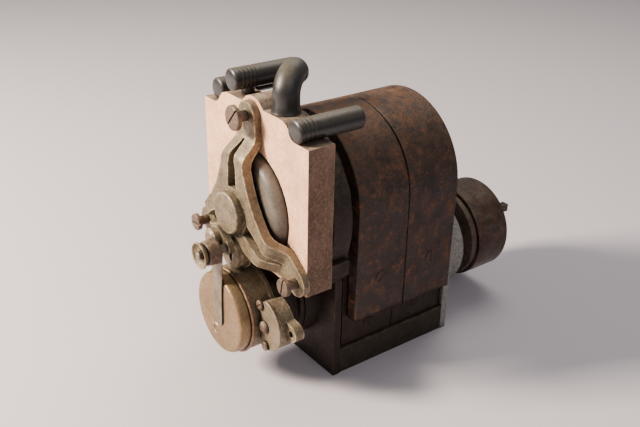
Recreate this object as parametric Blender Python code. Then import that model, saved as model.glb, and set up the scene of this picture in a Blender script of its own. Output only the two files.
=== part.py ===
"""A horseshoe-magnet ignition magneto for a four-cylinder engine, laid out front (-Y) to drive end (+Y).

All sizes below are in millimetres and are turned into metres where a mesh is made. The shaft lies
along Y at SHAFT_Z above the base, the distributor shaft along Y at DISTRIBUTOR_Z.
"""

import math

import bmesh
import bpy
from mathutils import Matrix, Vector
from mathutils.geometry import tessellate_polygon

MM = 0.001
GAP = 0.3

# Driving sizes: the standard shaft height, the gears, the magnets and the base.
SHAFT_Z = 45.0
GEAR_MODULE = 2.0
PINION_TEETH = 22
DISTRIBUTOR_TEETH = 44
DISTRIBUTOR_Z = SHAFT_Z + GEAR_MODULE * (PINION_TEETH + DISTRIBUTOR_TEETH) / 2
SHAFT_R = 7.5
BASE_HALF_WIDTH = 43.5
BASE_TOP = 18.0

# Stations along Y, from the breaker cap at the front to the drive end.
CAP_FRONT = -103.5
HOUSING_FRONT = -96.0
HOUSING_BACK = -78.3
BLOCK_FRONT = -76.3
CASE_FRONT = -58.3
CASE_FLOOR = -48.5
PLATE_FRONT = -47.3
PLATE_BACK = -42.3
POLE_FRONT = -39.5
POLE_BACK = 44.0
REAR_PLATE_FRONT = 45.5
REAR_PLATE_BACK = 50.5
REAR_HOUSING_BACK = 75.0
COUPLING_FRONT = 84.0
DRUM_FRONT = 89.2
DRUM_BACK = 118.0

# The electrical parts.
TUNNEL_R = 25.0
ARMATURE_R = 24.4
CORE_FRONT = -30.0
CORE_BACK = 27.0
BREAKER_R = 27.0
POST_X = 2.5
POST_Z = 90.0

for old in list(bpy.data.objects):
    bpy.data.objects.remove(old, do_unlink=True)


# ---------------------------------------------------------------- materials


def finish(name, colour, roughness, metallic):
    """One Principled material, with the colour as linear RGB."""
    material = bpy.data.materials.new(name)
    material.use_nodes = True
    shader = material.node_tree.nodes["Principled BSDF"]
    shader.inputs["Base Color"].default_value = (*colour, 1.0)
    shader.inputs["Roughness"].default_value = roughness
    shader.inputs["Metallic"].default_value = metallic
    return material


MAGNET_STEEL = finish("magnet_steel", (0.09, 0.065, 0.05), 0.6, 0.5)
DARK_IRON = finish("dark_iron", (0.08, 0.065, 0.05), 0.6, 0.5)
CAST_CASE = finish("cast_case", (0.10, 0.085, 0.07), 0.6, 0.4)
CAST_ALUMINIUM = finish("cast_aluminium", (0.38, 0.37, 0.35), 0.5, 0.8)
BRIGHT_STEEL = finish("bright_steel", (0.45, 0.44, 0.42), 0.3, 1.0)
RUSTY_STEEL = finish("rusty_steel", (0.22, 0.15, 0.12), 0.6, 0.6)
FIBRE = finish("fibre", (0.62, 0.43, 0.34), 0.8, 0.0)
EBONITE = finish("ebonite", (0.045, 0.042, 0.04), 0.35, 0.0)
GREY_VULCANITE = finish("grey_vulcanite", (0.22, 0.20, 0.18), 0.45, 0.0)
DULL_BRASS = finish("dull_brass", (0.36, 0.31, 0.22), 0.5, 0.7)
CAP_LACQUER = finish("cap_lacquer", (0.42, 0.33, 0.23), 0.6, 0.2)
COPPER_WIRE = finish("copper_wire", (0.35, 0.13, 0.06), 0.5, 0.4)
CARBON = finish("carbon", (0.03, 0.03, 0.03), 0.7, 0.0)


# ---------------------------------------------------------------- shape tools


def place(name, points, faces, material):
    """A closed mesh object from points in millimetres, its faces turned outwards."""
    mesh = bpy.data.meshes.new(name)
    mesh.from_pydata([Vector(p) * MM for p in points], [], faces)
    build = bmesh.new()
    build.from_mesh(mesh)
    bmesh.ops.remove_doubles(build, verts=build.verts, dist=1e-6)
    bmesh.ops.recalc_face_normals(build, faces=build.faces)
    build.to_mesh(mesh)
    build.free()
    mesh.shade_smooth()
    mesh.set_sharp_from_angle(angle=math.radians(35))
    mesh.materials.append(material)
    obj = bpy.data.objects.new(name, mesh)
    bpy.context.scene.collection.objects.link(obj)
    return obj


def arc(centre, radius, start, end, steps):
    """Points on a circle in the XZ plane, from start to end degrees, both ends included."""
    angles = [math.radians(start + (end - start) * i / steps) for i in range(steps + 1)]
    return [(centre[0] + radius * math.cos(a), centre[1] + radius * math.sin(a)) for a in angles]


def ring(centre, radius, steps):
    """A whole circle in the XZ plane."""
    return arc(centre, radius, 0, 360, steps)[:-1]


def polar(centre, radius, degrees):
    """One point of the XZ plane, by its radius and angle round a centre."""
    angle = math.radians(degrees)
    return centre[0] + radius * math.cos(angle), centre[1] + radius * math.sin(angle)


def box_outline(x0, x1, z0, z1):
    return [(x0, z0), (x1, z0), (x1, z1), (x0, z1)]


def prism(name, material, outline, y0, y1, holes=()):
    """An XZ outline, with any holes, extruded along Y from y0 to y1."""
    loops = [outline, *holes]
    flat = [point for loop in loops for point in loop]
    count = len(flat)
    triangles = tessellate_polygon([[Vector((x, z, 0)) for x, z in loop] for loop in loops])
    points = [(x, y0, z) for x, z in flat] + [(x, y1, z) for x, z in flat]
    faces = [tuple(t) for t in triangles]
    faces += [tuple(i + count for i in reversed(t)) for t in triangles]
    first = 0
    for loop in loops:
        for i in range(len(loop)):
            a = first + i
            b = first + (i + 1) % len(loop)
            faces.append((a, b, b + count, a + count))
        first += len(loop)
    return place(name, points, faces, material)


def turned(name, material, profile, centre=(0.0, 0.0), axis="Y", steps=32):
    """A closed profile of (radius, distance along the axis) turned round Y or Z.

    centre is (x, z) for an axis along Y and (x, y) for one along Z.
    """
    points = []
    rings = []
    for radius, along in profile:
        turns = 1 if radius == 0 else steps
        rings.append([len(points) + i for i in range(turns)])
        for i in range(turns):
            angle = 2 * math.pi * i / steps
            u = centre[0] + radius * math.cos(angle)
            v = centre[1] + radius * math.sin(angle)
            points.append((u, along, v) if axis == "Y" else (u, v, along))
    faces = []
    for one, two in zip(rings, rings[1:] + rings[:1]):
        if len(one) == len(two) == 1:
            continue
        for i in range(steps):
            j = (i + 1) % steps
            corners = [one[i % len(one)], one[j % len(one)], two[j % len(two)], two[i % len(two)]]
            faces.append(tuple(dict.fromkeys(corners)))
    return place(name, points, faces, material)


def rod(name, material, radius, y0, y1, centre, steps=20, axis="Y"):
    return turned(name, material, [(0, y0), (radius, y0), (radius, y1), (0, y1)], centre, axis, steps)


def tube(name, material, inner, outer, y0, y1, centre, steps=32):
    profile = [(inner, y0), (outer, y0), (outer, y1), (inner, y1)]
    return turned(name, material, profile, centre, steps=steps)


def combine(obj, tool, operation):
    """Joins, cuts or keeps the overlap of two solids, and removes the second one."""
    modifier = obj.modifiers.new(operation.lower(), "BOOLEAN")
    modifier.operation = operation
    modifier.solver = "EXACT"
    modifier.object = tool
    bpy.context.view_layer.update()
    graph = bpy.context.evaluated_depsgraph_get()
    mesh = bpy.data.meshes.new_from_object(obj.evaluated_get(graph))
    obj.modifiers.clear()
    build = bmesh.new()
    build.from_mesh(mesh)
    bmesh.ops.remove_doubles(build, verts=build.verts, dist=2e-6)
    bmesh.ops.dissolve_degenerate(build, edges=build.edges, dist=2e-6)
    build.to_mesh(mesh)
    build.free()
    material = obj.data.materials[0]
    mesh.materials.clear()
    mesh.materials.append(material)
    obj.data = mesh
    mesh.name = obj.name
    bpy.data.objects.remove(tool, do_unlink=True)
    return obj


def join(obj, *tools):
    for tool in tools:
        combine(obj, tool, "UNION")
    return obj


def cut(obj, *tools):
    for tool in tools:
        combine(obj, tool, "DIFFERENCE")
    return obj


def swept(name, material, path, radii, steps=16):
    """A round bar whose centre line and radius are given point by point."""
    points = []
    side = Vector((1, 0, 0))
    for i, centre in enumerate(path):
        ahead = Vector(path[min(i + 1, len(path) - 1)]) - Vector(path[max(i - 1, 0)])
        ahead.normalize()
        side = (side - ahead * side.dot(ahead)).normalized()
        other = ahead.cross(side)
        for k in range(steps):
            angle = 2 * math.pi * k / steps
            offset = side * math.cos(angle) + other * math.sin(angle)
            points.append(Vector(centre) + offset * radii[i])
    faces = [tuple(range(steps))]
    for i in range(len(path) - 1):
        for k in range(steps):
            a = i * steps + k
            b = i * steps + (k + 1) % steps
            faces.append((a, b, b + steps, a + steps))
    faces.append(tuple(range((len(path) - 1) * steps, len(path) * steps)))
    return place(name, points, faces, material)


def pivot(name, x, y, z, *pieces):
    """An empty on a joint's axis, with the pieces that turn or slide on it."""
    empty = bpy.data.objects.new(name, None)
    empty.location = Vector((x, y, z)) * MM
    bpy.context.scene.collection.objects.link(empty)
    for piece in pieces:
        piece.parent = empty
        piece.matrix_parent_inverse = Matrix.Translation(-empty.location)
    return empty


SHAFT = (0.0, SHAFT_Z)
DISTRIBUTOR = (0.0, DISTRIBUTOR_Z)
POST = (POST_X, POST_Z)


# ---------------------------------------------------------------- base and magnetic circuit


def base():
    outline = box_outline(-BASE_HALF_WIDTH, BASE_HALF_WIDTH, 0, BASE_TOP)
    prism("base_plate", CAST_CASE, outline, PLATE_BACK + GAP, REAR_PLATE_FRONT - GAP)


def pole_pieces():
    """Two blocks either side of the armature tunnel, open to it over most of its round."""
    half_width = 41.2
    half_gap = 9.0
    bottom = BASE_TOP + GAP
    top = 80.0
    edge = math.degrees(math.acos(half_gap / TUNNEL_R))
    for side, name in ((1, "pole_piece_right"), (-1, "pole_piece_left")):
        outline = [(half_gap, bottom), (half_width, bottom), (half_width, top), (half_gap, top)]
        outline += arc(SHAFT, TUNNEL_R, edge, -edge, 20)
        piece = prism(name, DARK_IRON, [(side * x, z) for x, z in outline], POLE_FRONT, POLE_BACK)
        groove_depth = 0.8
        near = side * (half_width - groove_depth)
        far = side * (half_width + 2)
        groove = box_outline(min(near, far), max(near, far), bottom - 2, top + 2)
        cut(piece, prism("groove", DARK_IRON, groove, 1.3, 2.0))
    outline = box_outline(-half_width, half_width, top + GAP, top + 2.0)
    prism("tunnel_cover", DULL_BRASS, outline, POLE_FRONT + 0.5, POLE_BACK - 0.5)


def magnets():
    """Two horseshoes side by side, their legs clamping the pole pieces."""
    outer = 50.2
    inner = 41.5
    arch_z = 112.0
    foot = 39.4
    outline = [(-outer, foot), (-inner, foot)]
    outline += arc((0, arch_z), inner, 180, 0, 22)
    outline += [(inner, foot), (outer, foot)]
    outline += arc((0, arch_z), outer, 0, 180, 22)
    for name, y0, y1 in (("magnet_front", -36.2, 2.4), ("magnet_rear", 3.0, 42.9)):
        magnet = prism(name, MAGNET_STEEL, outline, y0, y1)
        bevel = magnet.modifiers.new("edges", "BEVEL")
        bevel.width = 0.9 * MM
        bevel.segments = 1
        bevel.limit_method = "ANGLE"
        bevel.angle_limit = math.radians(40)


# ---------------------------------------------------------------- end castings


def front_casting():
    """Front end plate and gear case in one casting, with the boss of the distributor bush."""
    plate_outline = [(-43.5, 0), (43.5, 0), (43.5, 68), (40, 76), (-40, 76), (-43.5, 68)]
    plate = prism("front_end_plate", CAST_CASE, plate_outline, PLATE_FRONT, PLATE_BACK)
    case_r = 55.0
    lug_top = 88.0
    lug_bottom = 79.0
    lug_x = 53.5
    start = math.degrees(math.asin((lug_top - DISTRIBUTOR_Z) / case_r))
    case_outline = arc(DISTRIBUTOR, case_r, start, 180 - start, 30)
    case_outline += [(-lug_x, lug_top), (-lug_x, lug_bottom), (-43.0, 68.5), (-36.0, 62.0)]
    case_outline += [(36.0, 62.0), (43.0, 68.5), (lug_x, lug_bottom), (lug_x, lug_top)]
    case = prism("case", CAST_CASE, case_outline, CASE_FRONT, -45.5)
    lobe = rod("lobe", CAST_CASE, 29.0, CASE_FRONT, -46.9, SHAFT, 32)
    boss = rod("boss", CAST_CASE, 11.0, -46.2, -36.6, DISTRIBUTOR)
    join(plate, case, lobe, boss)
    cut(
        plate,
        rod("gear_room", CAST_CASE, 48.5, -62, CASE_FLOOR, DISTRIBUTOR, 36),
        rod("pinion_room", CAST_CASE, 26.0, -62.5, CASE_FLOOR + 0.01, SHAFT, 28),
        rod("bearing_seat", CAST_CASE, 17.9, -63, -30, SHAFT, 24),
        rod("bush_seat", CAST_CASE, 7.9, -61, -30, DISTRIBUTOR, 16),
    )


def front_cover():
    """The cover over the pinion, with the neck and the spigot that the breaker housing turns on."""
    shaft_room = 9.0
    profile = [(shaft_room, -81.0), (16.0, -81.0), (16.0, -77.9), (24.0, -77.9), (24.0, -61.5)]
    profile += [(28.4, -61.5), (28.4, -58.6), (shaft_room, -58.6)]
    turned("front_cover", CAST_CASE, profile, SHAFT)


def rear_casting():
    """Drive-end plate with its round bearing housing, bored for the slip ring and the bearing."""
    outline = [(-43.5, 0), (43.5, 0), (43.5, 60), (36, 80), (-36, 80), (-43.5, 60)]
    plate = prism("rear_end_plate", CAST_ALUMINIUM, outline, REAR_PLATE_FRONT, REAR_PLATE_BACK)
    housing = [(0, 47), (33, 47), (33, 73.5), (31.5, REAR_HOUSING_BACK), (0, REAR_HOUSING_BACK)]
    join(plate, turned("housing", CAST_ALUMINIUM, housing, SHAFT, steps=36))
    rooms = [(0, 40), (20, 40), (20, 61.7), (17.8, 61.7), (17.8, 72), (24, 72), (24, 80), (0, 80)]
    cut(
        plate,
        turned("rooms", CAST_ALUMINIUM, rooms, SHAFT),
        rod("holder_hole", CAST_ALUMINIUM, HOLDER_R + GAP, 55, 95, (0, SLIP_RING_Y), 24, "Z"),
    )
    profile = [(9.0, 72.3), (23.7, 72.3), (23.7, 74.3), (22.9, 75.1), (9.0, 75.1)]
    turned("rear_bearing_cap", CAST_ALUMINIUM, profile, SHAFT)


def bearings():
    """Ball bearings drawn as one solid each, and the plain bush of the distributor shaft."""
    for name, y0, y1 in (("front_bearing", -49.2, -41.2), ("rear_bearing", 62.0, 70.0)):
        profile = [(7.8, y0), (11.0, y0), (12.5, y0 + 1), (14.0, y0), (17.5, y0)]
        profile += [(17.5, y1), (14.0, y1), (12.5, y1 - 1), (11.0, y1), (7.8, y1)]
        turned(name, BRIGHT_STEEL, profile, SHAFT, steps=24)
    tube("distributor_bush", DULL_BRASS, 5.3, 7.5, -46.2, -36.6, DISTRIBUTOR, 16)


# ---------------------------------------------------------------- armature


def armature_core():
    """An H section: two round-backed shoes on a web."""
    web = 7.0
    shoe_z = 15.0
    shoe_end = math.degrees(math.asin(shoe_z / ARMATURE_R))
    upper = arc((0, 0), ARMATURE_R, shoe_end, 180 - shoe_end, 16)
    outline = upper + [(-web, shoe_z), (-web, -shoe_z)]
    outline += [(-x, -z) for x, z in upper] + [(web, -shoe_z), (web, shoe_z)]
    outline = [(x, z + SHAFT_Z) for x, z in outline]
    return prism("armature_core", DARK_IRON, outline, CORE_FRONT, CORE_BACK)


def armature_winding():
    """The coil, wound lengthwise round the web of the H."""
    half_height = 14.4
    half_width = 17.5
    turn_depth = 6.0
    front = CORE_FRONT - turn_depth
    back = CORE_BACK + turn_depth
    corner = 5.0

    def rounded(x, y0, y1, r):
        corners = (((x - r), (y1 - r), 0), ((r - x), (y1 - r), 90))
        corners += (((r - x), (y0 + r), 180), ((x - r), (y0 + r), 270))
        points = []
        for cx, cy, start in corners:
            points += arc((cx, cy), r, start, start + 90, 5)
        return points

    outside = rounded(half_width, front, back, corner)
    inside = rounded(7.3, CORE_FRONT - GAP, CORE_BACK + GAP, 0.5)
    coil = prism("armature_winding", COPPER_WIRE, outside, -half_height, half_height, [inside])
    # The outline was drawn in plan, so the coil is stood up from XZ to XY.
    coil.data.transform(Matrix(((1, 0, 0, 0), (0, 0, 1, 0), (0, 1, 0, 0), (0, 0, 0, 1))))
    coil.data.transform(Matrix.Translation((0, 0, SHAFT_Z * MM)))
    coil.data.flip_normals()
    return coil


def end_spider(name, disc, segments, profile):
    """A stub shaft on a disc, with two feet that reach over the winding to the core."""
    shaft = turned(name, DULL_BRASS, profile, SHAFT, steps=24)
    foot_r = 23.9
    foot_end = math.degrees(math.asin(15.0 / foot_r))
    for flip in (1, -1):
        outline = [(x, SHAFT_Z + flip * z) for x, z in arc((0, 0), foot_r, foot_end, 180 - foot_end, 8)]
        join(shaft, prism("foot", DULL_BRASS, outline, min(disc, segments), max(disc, segments)))
    return shaft


def shafts():
    """The two stub shafts that carry the core: no shaft runs through the winding."""
    front_profile = [(0, -36.3), (24.3, -36.3), (24.3, -39.9), (SHAFT_R, -39.9), (SHAFT_R, -82.2)]
    front_profile += [(3.8, -82.2), (3.8, -70.0), (0, -70.0)]
    front = end_spider("front_shaft", -37.5, CORE_FRONT - GAP, front_profile)
    rear_profile = [(0, 40.3), (24.3, 40.3), (24.3, 43.7), (SHAFT_R, 43.7), (SHAFT_R, 117.7), (0, 117.7)]
    rear = end_spider("rear_shaft", 41.5, CORE_BACK + GAP, rear_profile)
    condenser = prism("condenser", DARK_IRON, box_outline(-15, 15, SHAFT_Z - 12, SHAFT_Z + 12), 33.4, 39.9)
    return [front, rear, condenser]


SLIP_RING_Y = 54.5
HOLDER_R = 7.2


def slip_ring():
    """An ebonite spool whose deep groove carries the collector ring."""
    y0 = SLIP_RING_Y - 6.5
    y1 = SLIP_RING_Y + 6.5
    profile = [(7.8, y0), (14, y0), (14, y0 + 2), (11, y0 + 2), (11, y1 - 2), (14, y1 - 2)]
    profile += [(14, y1), (7.8, y1)]
    return turned("slip_ring", EBONITE, profile, SHAFT, steps=24)


def gear(name, teeth, centre, bore, first_tooth, material):
    """A spur gear with straight-sided teeth. first_tooth is the angle of one tooth in degrees."""
    pitch_r = GEAR_MODULE * teeth / 2
    backlash = 0.15
    half_tooth = math.pi * GEAR_MODULE / 4 - backlash
    root_r = pitch_r - 2.35
    tip_r = pitch_r + 1.75
    outline = []
    for i in range(teeth):
        middle = first_tooth + 360.0 * i / teeth
        sides = ((root_r, 1.95), (pitch_r, half_tooth), (tip_r, 0.7))
        for radius, half in sides:
            outline.append(polar(centre, radius, middle - math.degrees(half / radius)))
        for radius, half in reversed(sides):
            outline.append(polar(centre, radius, middle + math.degrees(half / radius)))
    hole = ring(centre, bore, 16)
    return prism(name, material, outline, -56.5, -50.5, [hole])


def coupling():
    """The half coupling on the drive end: a flange, a drum and its driving peg."""
    flange_profile = [(7.8, 76.2), (13.5, 76.2), (13.5, COUPLING_FRONT), (30.5, COUPLING_FRONT)]
    flange_profile += [(31.5, COUPLING_FRONT + 1), (31.5, 88.9), (7.8, 88.9)]
    flange = turned("coupling_flange", RUSTY_STEEL, flange_profile, SHAFT)
    drum_profile = [(7.8, DRUM_FRONT), (32.6, DRUM_FRONT), (33.4, DRUM_FRONT + 0.8)]
    drum_profile += [(33.4, DRUM_BACK - 0.8), (32.6, DRUM_BACK), (7.8, DRUM_BACK)]
    drum = turned("coupling_drum", RUSTY_STEEL, drum_profile, SHAFT, steps=40)
    peg_half = 2.8
    peg_x, peg_z = polar(SHAFT, 29.0, 40.0)
    peg_outline = box_outline(peg_x - peg_half, peg_x + peg_half, peg_z - peg_half, peg_z + peg_half)
    peg = prism("coupling_peg", RUSTY_STEEL, peg_outline, DRUM_BACK + GAP, 125.0)
    return [flange, drum, peg]


# ---------------------------------------------------------------- contact breaker


def breaker():
    """The disc that turns with the shaft, its centre screw and the fixed contact."""
    disc_profile = [(4.2, -86.2), (20.0, -86.2), (20.0, -82.5), (4.2, -82.5)]
    disc = turned("breaker_disc", DULL_BRASS, disc_profile, SHAFT, steps=24)
    screw_profile = [(0, -94), (4.4, -94), (5.0, -93.4), (5.0, -90.2), (3.5, -90.2), (3.5, -72), (0, -72)]
    screw = turned("breaker_screw", BRIGHT_STEEL, screw_profile, SHAFT, steps=12)
    block = box_outline(6.2, 11.5, SHAFT_Z - 13.5, SHAFT_Z - 7.5)
    fixed = prism("fixed_contact", BRIGHT_STEEL, block, -91.2, -86.5)
    point = box_outline(4.6, 6.4, SHAFT_Z - 12.0, SHAFT_Z - 9.0)
    join(fixed, prism("point", BRIGHT_STEEL, point, -90.4, -87.4))
    return [disc, screw, fixed]


ROCKER_PIVOT = (-11.0, SHAFT_Z - 6.0)


def rocker():
    """The bell-crank: its heel rides inside the cam ring, its contact meets the fixed one."""
    x, z = ROCKER_PIVOT
    outline = arc(ROCKER_PIVOT, 3.4, 150, 250, 6)
    outline += [(x + 2, z - 6.8), (4.0, SHAFT_Z - 12.4), (4.0, SHAFT_Z - 8.8), (x + 3.4, z - 2.2)]
    outline += [(x + 2.0, z + 4.5), (-12.2, SHAFT_Z + 12.0), (-15.8, SHAFT_Z + 13.4)]
    outline += [(-17.4, SHAFT_Z + 10.4), (x - 4.6, z + 6.0)]
    arm = prism("rocker_arm", BRIGHT_STEEL, outline, -90.6, -86.8)
    strip = [(-17.2, SHAFT_Z - 8.2), (-13.4, SHAFT_Z - 13.0), (-7.0, SHAFT_Z - 16.6), (1.5, SHAFT_Z - 17.6)]
    thickness = 0.7
    inner = [(px * 0.96, SHAFT_Z + (pz - SHAFT_Z) * 0.96 + thickness * 0.2) for px, pz in reversed(strip)]
    spring = prism("rocker_spring", BRIGHT_STEEL, strip + inner, -90.2, -87.4)
    return [arm, spring]


def cam_ring():
    """A steel ring with two inward cams, half a turn apart."""
    inside = []
    for i in range(36):
        angle = 360.0 * i / 36
        from_cam = abs((angle - 15.0 + 90.0) % 180.0 - 90.0)
        lift = 1.0 * max(0.0, math.cos(math.radians(min(90.0, from_cam * 3.2))))
        inside.append(polar(SHAFT, 22.4 - lift, angle))
    return prism("cam_ring", BRIGHT_STEEL, ring(SHAFT, 24.2, 36), -93.5, -84.0, [inside])


LUG_CENTRE = (30.0, 48.0)
EAR_CENTRE = (49.5, 49.5)
LUG_SCREWS = ((27.4, 60.5), (31.6, 47.2), (32.6, 34.4))


def lug_outline(radius, inner_r):
    """The half-moon between the breaker housing and an arc about LUG_CENTRE."""
    outer = arc(LUG_CENTRE, radius, -78, 82, 12)
    top = math.degrees(math.atan2(outer[-1][1] - SHAFT_Z, outer[-1][0]))
    bottom = math.degrees(math.atan2(outer[0][1] - SHAFT_Z, outer[0][0]))
    return outer + arc(SHAFT, inner_r, top, bottom, 8)


def breaker_housing():
    """The round housing that is turned to set the timing, with its side lug and the rod's ear."""
    wall = 24.6
    profile = [(16.3, HOUSING_BACK), (28.0, HOUSING_BACK), (28.0, -80.5), (BREAKER_R, -81.0)]
    profile += [(BREAKER_R, -94.6), (27.4, -94.9), (27.4, -95.7), (BREAKER_R, HOUSING_FRONT)]
    profile += [(wall, HOUSING_FRONT), (wall, -80.4), (16.3, -80.4)]
    housing = turned("breaker_housing", DULL_BRASS, profile, SHAFT, steps=36)
    lug = prism("lug", DULL_BRASS, lug_outline(16.4, 25.8), -88.2, HOUSING_BACK)
    ear_outline = arc(EAR_CENTRE, 5.2, -75, 80, 8) + [(40, 56), (38, 40)]
    ear = prism("ear", DULL_BRASS, ear_outline, -84.2, HOUSING_BACK + 0.2)
    join(housing, lug, ear)
    return cut(housing, rod("ear_hole", DULL_BRASS, 2.2, -90, -70, EAR_CENTRE, 12))


def breaker_cap():
    """The pressed lid: a shallow cup with a rounded rim and a spigot inside the housing."""
    radius = 26.0
    profile = [(0, CAP_FRONT), (23.6, CAP_FRONT), (25.3, -102.8), (radius, -101.1)]
    profile += [(radius, -96.3), (24.2, -96.3), (24.2, -94.2), (22.8, -94.2), (22.8, -101.7), (0, -101.7)]
    cap = turned("breaker_cap", CAP_LACQUER, profile, SHAFT, steps=36)
    return cut(cap, rod("peep_hole", CAP_LACQUER, 2.5, -110, -98, (-3.2, 32.6), 14))


def timing_details():
    """The cover plate of the lug and the three screws that hold it."""
    cover = prism("timing_lug_cover", DULL_BRASS, lug_outline(17.0, 27.6), -90.0, -88.5)
    pieces = [cover]
    for i, centre in enumerate(LUG_SCREWS):
        radius = 3.8 if i == 1 else 3.0
        height = 2.6 if i == 1 else 1.8
        front = -90.3 - height
        profile = [(0, front), (radius * 0.55, front), (radius, front + height * 0.5)]
        profile += [(radius, -90.3), (0, -90.3)]
        pieces.append(turned(f"lug_screw_{i + 1}", RUSTY_STEEL, profile, centre, steps=14))
    return pieces


# ---------------------------------------------------------------- distributor


def distributor_block():
    """The fibre block with stepped top corners and the round window of the rotor."""
    half_width = 54.0
    bottom = 73.8
    shelf = 163.5
    saddle = arc((43.0, 170.9), 7.4, 270, 200, 6)
    right = [(half_width, bottom), (half_width, shelf), *saddle, (33.2, 171.2), (28.9, 172.8), (11.0, 172.8)]
    right += [(6.5, 176.8), (2.5, 178.2)]
    outline = right + [(-x, z) for x, z in reversed(right)]
    window = ring(DISTRIBUTOR, 36.4, 40)
    prism("distributor_block", FIBRE, outline, BLOCK_FRONT, CASE_FRONT - GAP, [window])


def distributor_rotor():
    """The domed moulding that fills the window, and the brass electrode let into its rim."""
    bore = 5.3
    profile = [(bore, -58.9), (35.2, -58.9), (35.2, -75.5), (34.4, -79.0), (31.8, -81.9)]
    profile += [(27.5, -83.3), (21.0, -83.5), (14.0, -81.5), (bore, -81.0)]
    rotor = turned("distributor_rotor", GREY_VULCANITE, profile, DISTRIBUTOR, steps=36)
    half = 3.0
    z = DISTRIBUTOR_Z
    slot = box_outline(-half - GAP, half + GAP, z + 29.7, z + 38)
    cut(rotor, prism("slot", GREY_VULCANITE, slot, -72.3, -65.7))
    electrode = prism("rotor_electrode", DULL_BRASS, box_outline(-half, half, z + 30, z + 35.7), -72, -66)
    return [rotor, electrode]


def distributor_shaft():
    profile = [(0, -94.0), (4.5, -94.0), (4.5, -84.5), (5.0, -84.0), (5.0, -37.2), (0, -37.2)]
    return turned("distributor_shaft", BRIGHT_STEEL, profile, DISTRIBUTOR, steps=16)


# ---------------------------------------------------------------- lead sleeves


def lead_sleeves():
    """Stub sleeves of the plug leads: three lie back over the block, one turns up out of it."""
    length_end = -33.0
    sleeves = (
        ("lead_sleeve_left", -43.0, 170.5, -74.0),
        ("lead_sleeve_middle", -19.0, 183.0, -79.0),
        ("lead_sleeve_right", 43.0, 170.5, -78.0),
    )
    for name, x, z, front in sleeves:
        radius = 6.6
        profile = [(0, front), (radius - 1.2, front), (radius, front + 1.5)]
        profile += [(radius, length_end - 1.0), (radius - 1.0, length_end), (0, length_end)]
        sleeve = turned(name, EBONITE, profile, (x, z), steps=18)
        if name == "lead_sleeve_middle":
            join(sleeve, rod("stem", EBONITE, 4.0, 173.4, z - 3, (x, -67.0), 12, "Z"))
    foot = Vector((20.0, -67.0, 173.4))
    heading = Vector((-0.5, 0.866, 0.0))
    bend_r = 11.0
    knee = 182.0
    path = [foot, foot + Vector((0, 0, 2.0)), Vector((foot.x, foot.y, knee - 3))]
    for i in range(7):
        angle = math.radians(90 * i / 6)
        out = bend_r * (1 - math.cos(angle))
        path.append(Vector((foot.x, foot.y, knee)) + heading * out + Vector((0, 0, bend_r * math.sin(angle))))
    path.append(path[-1] + heading * 4.5)
    path.append(path[-1] + heading * 1.5)
    radii = [8.6, 8.1] + [7.7] * (len(path) - 3) + [6.0]
    swept("lead_sleeve_upright", EBONITE, path, radii, 16)


# ---------------------------------------------------------------- bracket and terminal


BRACKET_ARMS = (90.0, 210.0, 330.0)
EYE_R = 56.8


def bracket_outline():
    """Three arms at 120 degrees with round eyes, joined by hollow curves, and a slot down each arm."""
    half_width = 9.6
    eye = 8.4
    waist = 22.0
    swing = (waist - half_width) / (1 - math.sin(math.radians(60)))
    hollow_r = swing - waist
    outline = []
    slots = []
    for arm in BRACKET_ARMS:
        eye_centre = polar(DISTRIBUTOR, EYE_R, arm)
        outline += arc(eye_centre, eye, arm - 95, arm + 95, 10)
        hollow = polar(DISTRIBUTOR, swing, arm + 60)
        outline += arc(hollow, hollow_r, arm + 60 + 209, arm + 60 + 151, 8)
        slot = []
        for along, across in ((14.4, 4.3), (28.0, 3.9), (38.0, 1.9), (43.5, 0.8)):
            slot.append((along, across))
        slot += [(along, -across) for along, across in reversed(slot)]
        ux, uz = polar((0, 0), 1.0, arm)
        slots.append([(u * ux - v * uz, DISTRIBUTOR_Z + u * uz + v * ux) for u, v in slot])
    return outline, slots


def spider_bracket():
    """The three-armed bracket: a dished disc cut to the arms' outline, with the bearing boss."""
    outline, slots = bracket_outline()
    plan = prism("spider_bracket", DULL_BRASS, outline, -100, -70)
    steps = 5
    fall = [(i / steps, (1 - math.cos(math.pi * i / steps)) / 2) for i in range(steps + 1)]
    profile = [(0, -96.4), (12.2, -96.4), (12.8, -95.8), (12.8, -91.2)]
    profile += [(33.5 + 13.0 * t, -91.2 + 10.4 * drop) for t, drop in fall]
    profile += [(70, -80.8), (70, -76.7)]
    profile += [(31.5 + 13.0 * t, -85.4 + 8.7 * drop) for t, drop in reversed(fall)]
    profile += [(12.8, -85.4), (12.8, -85.0)]
    profile += [(4.8, -85.0), (4.8, -94.4), (0, -94.4)]
    combine(plan, turned("dish", DULL_BRASS, profile, DISTRIBUTOR, steps=36), "INTERSECT")
    seat = [(0, -91.1), (9.0, -91.1), (9.0, -87.2), (10.6, -86.8), (10.6, -85.1), (0, -85.1)]
    join(plan, turned("oiler_seat", DULL_BRASS, seat, OILER, steps=20))
    for arm, slot in zip(BRACKET_ARMS, slots):
        eye = rod("eye", DULL_BRASS, 3.4, -100, -60, polar(DISTRIBUTOR, EYE_R, arm), 12)
        cut(plan, prism("slot", DULL_BRASS, slot, -102, -65), eye)
    return plan


OILER = (1.0, 84.0)
OILER_FRONT = -95.0


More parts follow.
